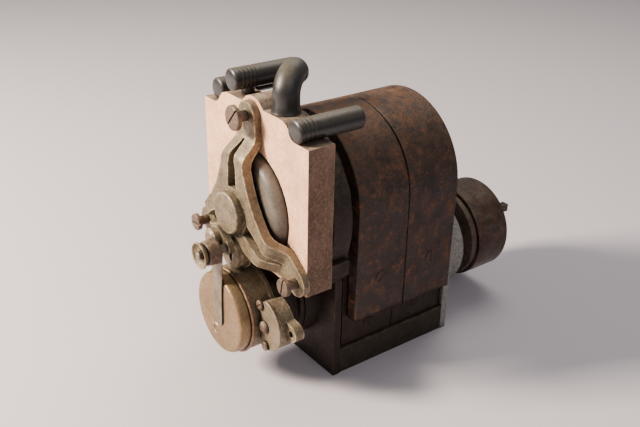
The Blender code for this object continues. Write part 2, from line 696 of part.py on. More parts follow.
def oiler():
    """The lower boss with an oval pocket in its face, and the lug that carries the terminal post."""
    profile = [(0, -91.5), (0, OILER_FRONT), (8.8, OILER_FRONT), (9.3, OILER_FRONT + 0.6), (9.3, -91.5)]
    boss = turned("oiler_boss", DULL_BRASS, profile, OILER, steps=24)
    x, z = OILER
    pocket = arc((x + 1.5, z + 2.2), 1.7, 0, 180, 6) + arc((x + 1.5, z - 2.2), 1.7, 180, 360, 6)
    cut(boss, prism("pocket", DULL_BRASS, pocket, OILER_FRONT - 2, OILER_FRONT + 1.6))
    lug = arc((-8.0, 92.5), 7.0, 60, 240, 10) + arc((POST_X - 1.0, POST_Z), 5.0, -100, 60, 8)
    join(boss, prism("lug", DULL_BRASS, lug, -98.3, OILER_FRONT + 0.7))
    collar = [(0, -103.4), (4.6, -103.4), (6.4, -102.2), (6.6, -98.0), (0, -98.0)]
    join(boss, turned("collar", DULL_BRASS, collar, (-8.0, 92.5), steps=16))
    return boss


def terminal():
    """The post with its insulating barrel, the dished thumb nut and the swinging clip spring."""
    stud = [(0, -117.2), (2.0, -117.2), (2.5, -116.6), (2.5, -98.6), (0, -98.6)]
    turned("terminal_stud", BRIGHT_STEEL, stud, POST, steps=12)
    barrel = [(2.8, -112.6), (6.8, -112.6), (7.4, -112.0), (7.8, -105.1), (2.8, -105.1)]
    turned("terminal_barrel", RUSTY_STEEL, barrel, POST, steps=20)
    nut = [(2.8, -112.9), (6.0, -112.9), (8.2, -115.4), (8.2, -116.4), (7.5, -116.4)]
    nut += [(6.6, -115.2), (5.0, -114.1), (2.8, -114.1)]
    thumb_nut = turned("terminal_nut", DULL_BRASS, nut, POST, steps=18)
    eye = 7.2
    outline = arc(POST, eye, -20, 200, 14)
    outline += [(POST_X - 6.0, 80.0), (POST_X - 4.2, 62.0), (POST_X - 3.6, 43.0)]
    outline += arc((POST_X, 41.6), 3.5, 190, 350, 8)
    outline += [(POST_X + 3.6, 43.0), (POST_X + 4.2, 62.0), (POST_X + 6.0, 80.0)]
    clip = prism("clip_spring", BRIGHT_STEEL, outline, -104.8, -104.1, [ring(POST, 2.9, 16)])
    return thumb_nut, clip


def spider_screws():
    """Shouldered screws with slotted round heads, one through each eye of the bracket."""
    slot_angles = (50.0, 5.0, 80.0)
    for i, arm in enumerate(BRACKET_ARMS):
        centre = polar(DISTRIBUTOR, EYE_R, arm)
        radius = 7.4 if i == 0 else 5.5
        profile = [(0, -90.4), (radius - 0.6, -90.4), (radius, -89.8), (radius, -87.6), (3.1, -87.6)]
        profile += [(3.1, -76.7), (0, -76.7)]
        screw = turned(f"spider_screw_{i + 1}", RUSTY_STEEL, profile, centre, steps=20)
        slot = prism("slot", RUSTY_STEEL, box_outline(-12, 12, -0.6, 0.6), -93, -89.3)
        turn = Matrix.Rotation(math.radians(-slot_angles[i]), 4, "Y")
        slot.data.transform(Matrix.Translation((centre[0] * MM, 0, centre[1] * MM)) @ turn)
        cut(screw, slot)


# ---------------------------------------------------------------- high-tension collector


def collector():
    """The brush holder over the slip ring, its brush and spring, and the bar under the arch."""
    here = (0.0, SLIP_RING_Y)
    profile = [(4.4, 61.0), (HOLDER_R, 61.0), (HOLDER_R, 95.5), (HOLDER_R - 1, 97.0), (0, 97.0), (0, 92.0)]
    profile += [(4.4, 92.0)]
    turned("brush_holder", EBONITE, profile, here, "Z", 20)
    bar_back = SLIP_RING_Y - HOLDER_R - GAP
    rod("hightension_bar", EBONITE, 4.4, -45.2, bar_back, (0, 91.0), 20)
    brush = rod("collector_brush", CARBON, 4.0, 56.4, 72.0, here, 16, "Z")
    turns = 6
    steps = 8
    wire = 0.55
    low = 72.3 + wire
    high = 91.7 - wire
    path = []
    for i in range(turns * steps + 1):
        angle = 2 * math.pi * i / steps
        climb = (high - low) * i / (turns * steps)
        path.append((3.2 * math.cos(angle), here[1] + 3.2 * math.sin(angle), low + climb))
    spring = swept("brush_spring", BRIGHT_STEEL, path, [wire] * len(path), 4)
    return brush, spring


# ---------------------------------------------------------------- assembly

base()
pole_pieces()
magnets()
front_casting()
front_cover()
rear_casting()
bearings()
distributor_block()
lead_sleeves()
spider_bracket()
spider_screws()
oiler()
nut_piece, clip_piece = terminal()
brush_pieces = collector()

pinion = gear("pinion_gear", PINION_TEETH, SHAFT, SHAFT_R + GAP, 90.0, BRIGHT_STEEL)
armature = [armature_core(), armature_winding(), *shafts(), slip_ring(), pinion]
armature += coupling() + breaker()
pivot("armature_axis", 0, 0, SHAFT_Z, *armature)

half_pitch = 180.0 / DISTRIBUTOR_TEETH
wheel = gear("distributor_gear", DISTRIBUTOR_TEETH, DISTRIBUTOR, 5.3, -90.0 + half_pitch, DULL_BRASS)
pivot("distributor_axis", 0, 0, DISTRIBUTOR_Z, wheel, distributor_shaft(), *distributor_rotor())

pivot("timing_axis", 0, 0, SHAFT_Z, breaker_housing(), breaker_cap(), cam_ring(), *timing_details())
pivot("rocker_axis", ROCKER_PIVOT[0], -88.7, ROCKER_PIVOT[1], *rocker())
pivot("clip_axis", POST_X, -104.4, POST_Z, clip_piece)
pivot("nut_axis", POST_X, -114.5, POST_Z, nut_piece)
pivot("brush_axis", 0, SLIP_RING_Y, 72.0, *brush_pieces)
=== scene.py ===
import math

import bmesh
import bpy
import numpy as np
from mathutils import Matrix, Vector


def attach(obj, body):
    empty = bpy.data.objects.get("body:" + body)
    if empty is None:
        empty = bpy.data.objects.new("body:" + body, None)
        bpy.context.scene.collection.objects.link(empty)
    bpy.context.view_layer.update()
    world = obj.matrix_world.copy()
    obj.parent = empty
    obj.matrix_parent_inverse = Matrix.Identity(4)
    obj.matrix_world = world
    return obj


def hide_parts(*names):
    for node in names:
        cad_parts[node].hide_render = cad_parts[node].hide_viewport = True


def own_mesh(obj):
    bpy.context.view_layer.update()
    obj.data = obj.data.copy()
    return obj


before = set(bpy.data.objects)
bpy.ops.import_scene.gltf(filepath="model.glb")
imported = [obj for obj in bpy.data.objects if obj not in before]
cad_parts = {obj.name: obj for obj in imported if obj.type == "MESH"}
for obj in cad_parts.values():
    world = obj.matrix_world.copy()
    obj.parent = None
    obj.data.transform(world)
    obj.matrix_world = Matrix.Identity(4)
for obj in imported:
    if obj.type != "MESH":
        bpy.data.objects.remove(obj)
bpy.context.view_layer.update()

# An old horseshoe-magnet ignition magneto, finished from the base up in the order it is put
# together. Sizes are in millimetres, with the breaker at -Y and the drive coupling at +Y.


# ------------------------------------------------------------------ stage
# A plain pale table, one large soft lamp at the front left, and weak fills from the right and
# from above, so the side of the magnets stays readable.

camera_data = bpy.data.cameras.new("camera")
camera_data.lens = 47.43
camera_data.clip_start = 0.01
camera = bpy.data.objects.new("camera", camera_data)
bpy.context.scene.collection.objects.link(camera)
azimuth = math.radians(52.86)
elevation = math.radians(26.36)
roll = math.radians(1.16)
aim = Matrix.Rotation(azimuth, 4, "Z") @ Matrix.Rotation(math.pi / 2 - elevation, 4, "X")
standing_at = Matrix.Translation((0.3824, -0.3168, 0.3290))
camera.matrix_world = standing_at @ aim @ Matrix.Rotation(roll, 4, "Z")
bpy.context.scene.camera = camera

world = bpy.data.worlds.new("studio")
world.use_nodes = True
sky = world.node_tree.nodes["Background"]
sky.inputs["Color"].default_value = (0.86, 0.88, 0.93, 1.0)
sky.inputs["Strength"].default_value = 0.26
bpy.context.scene.world = world


def soft_lamp(name, place, width, power, colour):
    """A square lamp at place, in metres, that faces the middle of the magneto."""
    data = bpy.data.lights.new(name, "AREA")
    data.size = width
    data.energy = power
    data.color = colour
    lamp = bpy.data.objects.new(name, data)
    bpy.context.scene.collection.objects.link(lamp)
    towards = Vector((0, 0, 0.09)) - Vector(place)
    lamp.matrix_world = Matrix.Translation(place) @ towards.to_track_quat("-Z", "Y").to_matrix().to_4x4()


soft_lamp("key_lamp", (-0.46, -0.95, 0.66), 0.26, 50.0, (1.0, 0.885, 0.755))
soft_lamp("right_lamp", (0.95, -0.15, 0.75), 0.7, 2.6, (0.96, 0.97, 1.0))
soft_lamp("top_lamp", (-0.25, 0.45, 1.0), 0.6, 5.0, (1.0, 0.96, 0.91))

MM = 0.001
table_half = 3000.0
table_mesh = bpy.data.meshes.new("table")
table_corners = np.array([(-1, -1, 0), (1, -1, 0), (1, 1, 0), (-1, 1, 0)]) * table_half * MM
table_mesh.from_pydata(table_corners, [], [(0, 1, 2, 3)])
table = bpy.data.objects.new("table", table_mesh)
bpy.context.scene.collection.objects.link(table)
paper = bpy.data.materials.new("table_paper")
paper.use_nodes = True
paper_shader = paper.node_tree.nodes["Principled BSDF"]
paper_shader.inputs["Base Color"].default_value = (0.62, 0.56, 0.59, 1.0)
paper_shader.inputs["Roughness"].default_value = 0.9
table_mesh.materials.append(paper)


# ------------------------------------------------------------------ base plate
# A flat plate of dark gunmetal that both pole pieces and end plates are screwed to. It is
# machined all over, and a century of oil and dust has turned it brown.


def add(tree, kind, inputs, **settings):
    """Adds a shader node. An input given as a socket is linked, and any other value is set."""
    node = tree.nodes.new("ShaderNode" + kind)
    for name, value in settings.items():
        setattr(node, name, value)
    for name, value in inputs.items():
        if isinstance(value, bpy.types.NodeSocket):
            tree.links.new(value, node.inputs[name])
        else:
            node.inputs[name].default_value = value
    return node


def blended(tree, factor, first, second):
    """The first colour where factor is 0 and the second where it is 1."""
    return add(tree, "Mix", {0: factor, 6: first, 7: second}, data_type="RGBA").outputs[2]


def worked(tree, operation, first, second):
    """Two values added, multiplied or otherwise combined, and held between 0 and 1."""
    return add(tree, "Math", {0: first, 1: second}, operation=operation, use_clamp=True).outputs[0]


def spread(tree, value, low, high, at_low=0.0, at_high=1.0):
    """Value stretched so that low gives at_low and high gives at_high, with nothing beyond them."""
    limits = {"Value": value, "From Min": low, "From Max": high, "To Min": at_low, "To Max": at_high}
    return add(tree, "MapRange", limits).outputs[0]


def cloud(tree, scale, detail=5.0, harshness=0.6, stretch=None):
    """Soft noise over the piece's own coordinates; stretch squeezes it along X, Y and Z."""
    place = add(tree, "TexCoord", {}).outputs["Object"]
    if stretch:
        place = add(tree, "Mapping", {"Vector": place, "Scale": stretch}).outputs[0]
    inputs = {"Vector": place, "Scale": scale, "Detail": detail, "Roughness": harshness}
    return add(tree, "TexNoise", inputs).outputs[0]


def effect(name, inputs, outputs):
    """A new node group with named inputs, each a number or a colour, and named outputs."""
    tree = bpy.data.node_groups.new(name, "ShaderNodeTree")
    for title, value in inputs.items():
        kind = "NodeSocketColor" if isinstance(value, tuple) else "NodeSocketFloat"
        socket = tree.interface.new_socket(title, in_out="INPUT", socket_type=kind)
        socket.default_value = value
    for title, kind in outputs.items():
        tree.interface.new_socket(title, in_out="OUTPUT", socket_type="NodeSocket" + kind)
    given = tree.nodes.new("NodeGroupInput").outputs
    result = tree.nodes.new("NodeGroupOutput").inputs
    return tree, given, result


# Mottled: two tones in blotches, broken up by a finer cloud, with a third in broad stains.
mottled, given, result = effect(
    "mottled",
    {
        "Dark": (0.1, 0.1, 0.1, 1.0),
        "Light": (0.3, 0.3, 0.3, 1.0),
        "Stain": (0.2, 0.2, 0.2, 1.0),
        "Scale": 60.0,
    },
    {"Color": "Color", "Mask": "Float"},
)
blotches = spread(mottled, cloud(mottled, given["Scale"], 7.0, 0.68), 0.36, 0.66)
speckle = spread(mottled, cloud(mottled, 620.0, 5.0, 0.75), 0.40, 0.62, 0.0, 0.5)
mottle_mask = worked(mottled, "ADD", worked(mottled, "MULTIPLY", blotches, 0.65), speckle)
mottled.links.new(mottle_mask, result["Mask"])
two_tone = blended(mottled, mottle_mask, given["Dark"], given["Light"])
stains = spread(mottled, cloud(mottled, 75.0, 9.0, 0.75, (1.0, 0.8, 0.9)), 0.52, 0.66, 0.0, 0.7)
mottled.links.new(blended(mottled, stains, two_tone, given["Stain"]), result["Color"])

# Edge wear: where the normal of a rounded edge leaves the true one, rubbed in patches.
edge_wear, given, result = effect("edge_wear", {"Width": 0.001, "Amount": 0.6}, {"Mask": "Float"})
true_normal = add(edge_wear, "NewGeometry", {}).outputs["Normal"]
round_normal = add(edge_wear, "Bevel", {"Radius": given["Width"]}, samples=4).outputs[0]
alike = add(edge_wear, "VectorMath", {0: true_normal, 1: round_normal}, operation="DOT_PRODUCT")
rubbed = spread(edge_wear, alike.outputs["Value"], 0.99, 0.84)
patches = spread(edge_wear, cloud(edge_wear, 260.0, 4.0), 0.38, 0.62)
rubbed = worked(edge_wear, "MULTIPLY", worked(edge_wear, "MULTIPLY", rubbed, patches), given["Amount"])
edge_wear.links.new(rubbed, result["Mask"])

# Settled dust: thick on what faces up and a thin film elsewhere, in drifts unless it is even.
settled_dust, given, result = effect(
    "settled_dust", {"Amount": 0.6, "Everywhere": 0.1, "Evenness": 0.2}, {"Mask": "Float"}
)
facing = add(settled_dust, "TexCoord", {}).outputs["Normal"]
upward = spread(settled_dust, add(settled_dust, "SeparateXYZ", {0: facing}).outputs["Z"], 0.25, 0.95)
drift = spread(settled_dust, cloud(settled_dust, 190.0, 8.0, 0.72), 0.36, 0.60)
drift = worked(settled_dust, "MAXIMUM", drift, given["Evenness"])
lying = worked(settled_dust, "MULTIPLY", worked(settled_dust, "MULTIPLY", upward, drift), given["Amount"])
film = worked(settled_dust, "MULTIPLY", drift, given["Everywhere"])
settled_dust.links.new(worked(settled_dust, "ADD", lying, film), result["Mask"])

# Corner shade: corners, slots and joints darkened by ambient occlusion, a painted shade near black, with a
# ragged edge.
grime, given, result = effect("grime", {"Amount": 0.7}, {"Mask": "Float"})
open_sky = add(grime, "AmbientOcclusion", {"Distance": 0.006}, samples=6).outputs["AO"]
ragged = spread(grime, cloud(grime, 520.0, 6.0, 0.75), 0.3, 0.7, -0.16, 0.16)
shut_in = spread(grime, add(grime, "Math", {0: open_sky, 1: ragged}, operation="ADD").outputs[0], 0.78, 0.42)
grime.links.new(worked(grime, "MULTIPLY", shut_in, given["Amount"]), result["Mask"])

# Grain: the height of a cast or handled surface, a fine tooth with broader dents.
grain, given, result = effect("grain", {"Tooth": 1400.0, "Dents": 120.0, "Share": 0.5}, {"Height": "Float"})
tooth = cloud(grain, given["Tooth"], 3.0)
dents = cloud(grain, given["Dents"], 3.0)
grain.links.new(add(grain, "Mix", {0: given["Share"], 2: tooth, 3: dents}).outputs[0], result["Height"])

DUST = (0.28, 0.205, 0.118, 1.0)
PAINTED_SHADE_COLOUR = (0.011, 0.007, 0.0045, 1.0)


def weathered(name, dark, light, worn, rough, metallic, **more):
    """A metal or moulding in two tones, rubbed to the worn colour on its edges, dusted over, and darkened in
    its corners as painted shade.
    """
    material = bpy.data.materials.new(name)
    material.use_nodes = True
    tree = material.node_tree
    shader = tree.nodes["Principled BSDF"]
    stain = (*more.get("stain", dark), 1.0)
    tones = {"Dark": (*dark, 1.0), "Light": (*light, 1.0), "Stain": stain, "Scale": more.get("scale", 70.0)}
    tone = add(tree, "Group", {}, node_tree=mottled)
    for title, value in tones.items():
        tone.inputs[title].default_value = value
    wear = add(tree, "Group", {}, node_tree=edge_wear)
    wear.inputs["Width"].default_value = more.get("edge", 0.9) * MM
    wear.inputs["Amount"].default_value = more.get("wear", 0.6)
    dust = add(tree, "Group", {}, node_tree=settled_dust)
    dust.inputs["Amount"].default_value = more.get("dust", 0.5)
    dust.inputs["Everywhere"].default_value = more.get("film", 0.12)
    dust.inputs["Evenness"].default_value = more.get("evenness", 0.15)
    dust_mask = dust.outputs["Mask"]
    painted_shade = add(tree, "Group", {}, node_tree=grime)
    painted_shade.inputs["Amount"].default_value = more.get("grime", 0.8)
    colour = tone.outputs["Color"]
    roughness = spread(tree, tone.outputs["Mask"], 0.0, 1.0, rough + 0.12, rough - 0.08)
    metal = worked(tree, "MULTIPLY", worked(tree, "SUBTRACT", 1.0, dust_mask), metallic)
    if more.get("rust"):
        scab = add(tree, "Group", {}, node_tree=more["rust"])
        scab.inputs["Amount"].default_value = more.get("rusting", 0.5)
        colour = blended(tree, scab.outputs["Mask"], colour, scab.outputs["Color"])
        metal = worked(tree, "MULTIPLY", metal, worked(tree, "SUBTRACT", 1.0, scab.outputs["Mask"]))
        roughness = worked(tree, "ADD", roughness, worked(tree, "MULTIPLY", scab.outputs["Mask"], 0.25))
    colour = blended(tree, wear.outputs["Mask"], colour, (*worn, 1.0))
    colour = blended(tree, dust_mask, colour, more.get("dust_colour", DUST))
    # Ambient occlusion darkens corners, slots and joints to near-black: painted shade.
    colour = blended(tree, painted_shade.outputs["Mask"], colour, PAINTED_SHADE_COLOUR)
    roughness = worked(tree, "ADD", roughness, worked(tree, "MULTIPLY", dust_mask, 0.35))
    relief = add(tree, "Group", {}, node_tree=grain)
    relief.inputs["Tooth"].default_value = more.get("tooth", 1400.0)
    relief.inputs["Dents"].default_value = more.get("dents", 120.0)
    bump = {"Height": relief.outputs["Height"], "Strength": more.get("relief", 0.5), "Distance": 0.0009}
    tree.links.new(colour, shader.inputs["Base Color"])
    tree.links.new(roughness, shader.inputs["Roughness"])
    tree.links.new(metal, shader.inputs["Metallic"])
    tree.links.new(add(tree, "Bump", bump).outputs[0], shader.inputs["Normal"])
    return material


def fitted(piece, material, body, slot, *nodes):
    """Gives a piece its finish and its body, in place of the CAD nodes that it stands for."""
    piece.data.materials.clear()
    piece.data.materials.append(material)
    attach(piece, body)
    if nodes:
        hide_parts(*nodes)
    return piece


def smoothed(name, build, sharp=60.0):
    """Turns an edit mesh into an object: doubles merged, faces outwards, smooth but for sharp edges."""
    bmesh.ops.remove_doubles(build, verts=build.verts, dist=2e-6)
    bmesh.ops.dissolve_degenerate(build, edges=build.edges, dist=1e-7)
    bmesh.ops.recalc_face_normals(build, faces=build.faces)
    mesh = bpy.data.meshes.new(name)
    build.to_mesh(mesh)
    build.free()
    mesh.shade_smooth()
    mesh.set_sharp_from_angle(angle=math.radians(sharp))
    piece = bpy.data.objects.new(name, mesh)
    bpy.context.scene.collection.objects.link(piece)
    return piece


def dressed(node, material, body, slot, edge=0.6, steps=3):
    """A casting's finished surface: the CAD shape merged, its flats joined, its edges rounded."""
    build = bmesh.new()
    build.from_mesh(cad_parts[node].data)
    bmesh.ops.remove_doubles(build, verts=build.verts, dist=2e-6)
    nearly_flat = math.radians(1.0)
    bmesh.ops.dissolve_limit(build, angle_limit=nearly_flat, verts=build.verts, edges=build.edges)
    piece = smoothed(node + "_finished", build, 180.0)
    bevel = piece.modifiers.new("rounded_edges", "BEVEL")
    bevel.width = edge * MM
    bevel.segments = steps
    bevel.limit_method = "ANGLE"
    bevel.angle_limit = math.radians(28)
    piece.modifiers.new("flat_faces", "WEIGHTED_NORMAL")
    return fitted(piece, material, body, slot, node)


gunmetal = weathered(
    "dirty_gunmetal", (0.012, 0.008, 0.005), (0.040, 0.024, 0.014), (0.17, 0.10, 0.05), 0.55, 0.45,
    dust=0.35, film=0.05, relief=0.35,
)
dressed("base_plate", gunmetal, "frame", "cast_case", 0.8)


# ------------------------------------------------------------------ pole pieces
# Two laminated blocks of soft iron, bored for the armature and screwed to the base. A brass
# strip covers the gap between their tops.

pole_iron = weathered(
    "oiled_pole_iron", (0.009, 0.006, 0.005), (0.036, 0.021, 0.014), (0.12, 0.075, 0.045), 0.5, 0.6,
    scale=90.0, dust=0.3, film=0.04, relief=0.4,
)
for side in ("left", "right"):
    dressed("pole_piece_" + side, pole_iron, "frame", "dark_iron", 0.35, 2)
strip_brass = weathered(
    "tarnished_strip", (0.08, 0.06, 0.035), (0.19, 0.14, 0.08), (0.4, 0.3, 0.16), 0.45, 0.8, dust=0.6
)
dressed("tunnel_cover", strip_brass, "frame", "dull_brass", 0.3, 2)


# ------------------------------------------------------------------ magnets
# Two horseshoes of hardened steel bar, bent hot over a former, so their faces are a little
# uneven. They have rusted brown, with orange scabs and blue-grey scale below, and their upward
# faces, the crown most, are tinted orange-brown: partly rust dust, partly painted light on the crown.


def lofted(name, *grids, weighted=True):
    """A closed skin over each grid of points, (stations, points round, 3) in millimetres.

    Neighbouring stations are joined by quads, and the first and last are closed by a flat face
    or, where all their points meet, by a pole.
    """
    build = bmesh.new()
    for grid in grids:
        rows, columns = grid.shape[:2]
        index = np.arange(rows * columns).reshape(rows, columns)
        beside = np.roll(index, -1, axis=1)
        quads = np.stack([index[:-1], beside[:-1], beside[1:], index[1:]], axis=-1).reshape(-1, 4)
        mesh = bpy.data.meshes.new(name + "_grid")
        ends = [index[0].tolist(), index[-1].tolist()]
        mesh.from_pydata(grid.reshape(-1, 3) * MM, [], quads.tolist() + ends)
        build.from_mesh(mesh)
        bpy.data.meshes.remove(mesh)
    piece = smoothed(name, build)
    if weighted:
        piece.modifiers.new("flat_faces", "WEIGHTED_NORMAL")
    return piece


def eased(corners, radius, steps=4, closed=False):
    """A run of 2-D corners, each swapped for a parabola that leaves its sides radius away."""
    corners = np.asarray(corners, float)
    to_last = np.roll(corners, 1, axis=0) - corners
    to_next = np.roll(corners, -1, axis=0) - corners
    last_side = np.linalg.norm(to_last, axis=1, keepdims=True)
    next_side = np.linalg.norm(to_next, axis=1, keepdims=True)
    start = corners + to_last / last_side * np.minimum(radius, 0.45 * last_side)
    end = corners + to_next / next_side * np.minimum(radius, 0.45 * next_side)
    t = np.linspace(0, 1, steps + 1)[None, :, None]
    curves = (1 - t) ** 2 * start[:, None] + 2 * t * (1 - t) * corners[:, None] + t**2 * end[:, None]
    if closed:
        return curves.reshape(-1, 2)
    return np.concatenate([corners[:1], curves[1:-1].reshape(-1, 2), corners[-1:]])


# Rust: dark brown scabs that turn orange in their middles.
rust, given, result = effect("rust", {"Amount": 0.5}, {"Color": "Color", "Mask": "Float"})
scabs = cloud(rust, 120.0, 10.0, 0.78)
threshold = worked(rust, "SUBTRACT", 0.75, worked(rust, "MULTIPLY", given["Amount"], 0.45))
cover = worked(rust, "MULTIPLY", worked(rust, "SUBTRACT", scabs, threshold), 11.0)
orange = spread(rust, cloud(rust, 300.0, 9.0, 0.8), 0.45, 0.66)
rust.links.new(cover, result["Mask"])
rust.links.new(blended(rust, orange, (0.042, 0.019, 0.011, 1.0), (0.200, 0.066, 0.021, 1.0)), result["Color"])

# Its dust colour is orange-brown and settles on the upward faces: partly rust dust, partly painted light on
# the lit crown.
magnet_steel = weathered(
    "rusted_magnet_steel", (0.006, 0.006, 0.007), (0.045, 0.022, 0.013), (0.11, 0.056, 0.029), 0.52, 0.3,
    stain=(0.018, 0.024, 0.028), grime=0.8,
    scale=62.0, rust=rust, rusting=0.56, dust=0.62, film=0.05, wear=0.5, relief=0.9, tooth=620.0,
    dust_colour=(0.150, 0.072, 0.032, 1.0),
)
outer_half = 50.2
bar_thickness = 8.7
arch_z = 112.0
foot_z = 39.4


def horseshoe(y0, y1, phase):
    """A bar section carried up one leg, round the arch and down the other leg.

    Each station is a point on the bar's middle line with its outward direction; the section is a
    rectangle, eased at its corners, and the faces sink by a slow sine along and across the bar.
    """
    middle = outer_half - bar_thickness / 2
    rise = np.linspace(foot_z, arch_z, 26)
    turn = np.radians(np.linspace(180, 0, 72))
    legs = np.stack([np.full_like(rise, -middle), rise], axis=-1)
    arch = np.stack([middle * np.cos(turn), arch_z + middle * np.sin(turn)], axis=-1)
    line = np.concatenate([legs[:-1], arch, legs[::-1][1:] * (-1, 1)])
    on_leg = line[:, 1:] < arch_z
    outward = np.where(on_leg, np.sign(line[:, :1]) * (1, 0), line - (0, arch_z))
    outward /= np.linalg.norm(outward, axis=1, keepdims=True)
    half = bar_thickness / 2
    across = np.linspace(y0, y1, 14)
    top = np.stack([np.full_like(across, half), across], axis=-1)
    section = np.concatenate([[(-half, y0), (half, y0)], top[1:-1], [(half, y1), (-half, y1)]])
    section = eased(section, 1.1, 3, closed=True)
    along = np.linspace(0, 1, len(line))[:, None]
    sink = 0.12 + 0.12 * np.sin(19 * along + phase) * np.cos(0.11 * section[None, :, 1] + phase)
    depth = section[None, :, 0] - np.sign(section[None, :, 0]) * sink
    points = np.empty((len(line), len(section), 3))
    points[..., 0] = line[:, None, 0] + outward[:, None, 0] * depth
    points[..., 1] = section[None, :, 1]
    points[..., 2] = line[:, None, 1] + outward[:, None, 1] * depth
    return points


for name, y0, y1, phase in (("magnet_front", -36.2, 2.4, 0.0), ("magnet_rear", 3.0, 42.9, 2.0)):
    fitted(lofted(name + "_bar", horseshoe(y0, y1, phase)), magnet_steel, "frame", "magnet_steel", name)


# ------------------------------------------------------------------ magnet and pole screws
# Slotted screws hold each magnet leg to its pole piece, and each pole piece to the base. They
# were filed nearly flush, and their slots point anywhere.


def slotted_head(centre, outward, along, radius, height, slot=1.2, depth=0.6, bluntness=6.0):
    """A round screw head as chords of its disc, stacked across the slot.

    Above a point that is r from the middle the head stands height * (1 - (r / radius)^p)^(1 / p),
    p being the bluntness, and between the two edges of the slot it is lower by the slot's depth.
    """
    outward = np.asarray(outward, float)
    along = np.asarray(along, float)
    sideways = np.cross(outward, along)
    half = slot / 2
    lip = 0.06
    rest = np.sin(np.linspace(0, np.pi / 2, 22)) * (radius - half - lip) + half + lip
    side = np.concatenate([[0.0, half - lip, half], rest])
    v = np.concatenate([-side[::-1], side[1:]])[:, None]
    t = np.sin(np.linspace(-np.pi / 2, np.pi / 2, 30))[None, :]
    u = t * np.sqrt(np.maximum(radius**2 - v**2, 0.0))
    away = np.clip(np.sqrt(u**2 + v**2) / radius, 0, 1)
    stand = height * np.maximum(1 - away**bluntness, 0) ** (1 / bluntness)
    floor = height * (1 - depth)
    stand = np.where(np.abs(v) < half, np.minimum(stand, floor), stand)
    u = np.concatenate([u, u[:, ::-1]], axis=1)
    v = np.broadcast_to(v, u.shape)
    stand = np.concatenate([stand, np.zeros_like(stand)], axis=1)
    axes = u[..., None] * along + v[..., None] * sideways + stand[..., None] * outward
    return np.asarray(centre, float) + axes


head_steel = weathered(
    "rusted_screw_steel", (0.040, 0.024, 0.018), (0.165, 0.100, 0.072), (0.34, 0.25, 0.19), 0.5, 0.45,
    scale=240.0, rust=rust, rusting=0.35, dust=0.45, film=0.2, relief=0.5, edge=0.5,
)
# A near-black finish for the strips laid in the screw slots: painted shade.
slot_shade_finish = weathered(
    "painted_slot_shade", (0.004, 0.003, 0.002), (0.010, 0.007, 0.005), (0.02, 0.015, 0.01), 0.8, 0.0,
    dust=0.1, film=0.02,
)
pole_half = 41.2
slot_shade_width = 1.2
# Each row: name, distance from the middle, y, z, slot's angle, head's radius and finish.
flush_screws = (
    ("magnet_screw_front", outer_half - 0.15, -17.0, 65.5, 45, 4.4, magnet_steel),
    ("magnet_screw_rear", outer_half - 0.15, 24.0, 67.0, 88, 4.4, magnet_steel),
    ("pole_screw_front", pole_half, -18.0, 28.0, 130, 3.8, pole_iron),
    ("pole_screw_rear", pole_half, 23.0, 29.0, 60, 3.8, pole_iron),
)
for side, word in ((1, "right"), (-1, "left")):
    for name, x, y, z, slot_degrees, radius, finish in flush_screws:
        tilt = math.radians(slot_degrees)
        along = (0.0, math.cos(tilt), math.sin(tilt))
        head = slotted_head((side * x, y, z), (side, 0, 0), along, radius, 0.6, 1.3, 0.93, 9.0)
        fitted(lofted(f"{name}_{word}", head), finish, "frame", "rusty_steel")
        # A near-black strip lies on each slot's floor: painted shade in the slot's hollow.
        painted_shade = np.array([(-0.94, -0.5), (0.94, -0.5), (0.94, 0.5), (-0.94, 0.5)]) * (radius, slot_shade_width)
        sideways = np.cross((side, 0, 0), along)
        outline = (side * x, y, z) + painted_shade[:, :1] * along + painted_shade[:, 1:] * sideways
        lift = np.array((0.03, 0.07))[:, None, None] * np.array((side, 0, 0))
        shade_strip = lofted(f"{name}_{word}_slot_shade", outline + lift, weighted=False)
        fitted(shade_strip, slot_shade_finish, "frame", "rusty_steel")


# ------------------------------------------------------------------ gear case and cover
# The front end plate and the round gear case are one gunmetal casting. The plain cover over the
# pinion carries the spigot that the breaker housing turns on.

case_metal = weathered(
    "oily_case_casting", (0.006, 0.003, 0.002), (0.022, 0.011, 0.007), (0.12, 0.07, 0.037), 0.58, 0.4,
    dust=0.4, film=0.02, relief=0.6, tooth=700.0,
)
dressed("front_end_plate", case_metal, "frame", "cast_case", 0.9)
dressed("front_cover", case_metal, "frame", "cast_case", 0.6)


# ------------------------------------------------------------------ drive-end castings
# The rear plate and its bearing housing are cast in aluminium, left as cast on the round and
# speckled white where damp has eaten the skin. A screwed cap holds the bearing.

aluminium = weathered(
    "speckled_aluminium", (0.13, 0.125, 0.115), (0.36, 0.35, 0.33), (0.5, 0.49, 0.47), 0.55, 0.5,
    scale=420.0, dust=0.35, film=0.15, relief=0.9, tooth=520.0,
)
dressed("rear_end_plate", aluminium, "frame", "cast_aluminium", 0.8)
dressed("rear_bearing_cap", aluminium, "frame", "cast_aluminium", 0.5)


# ------------------------------------------------------------------ distributor block
# A thick slab of pressed red fibre, faded pink on its face, with its edges and sides painted dark
# as shade. Its round window lets the rotor through, dust lies on every ledge, and its corners are
# painted darker as shade.

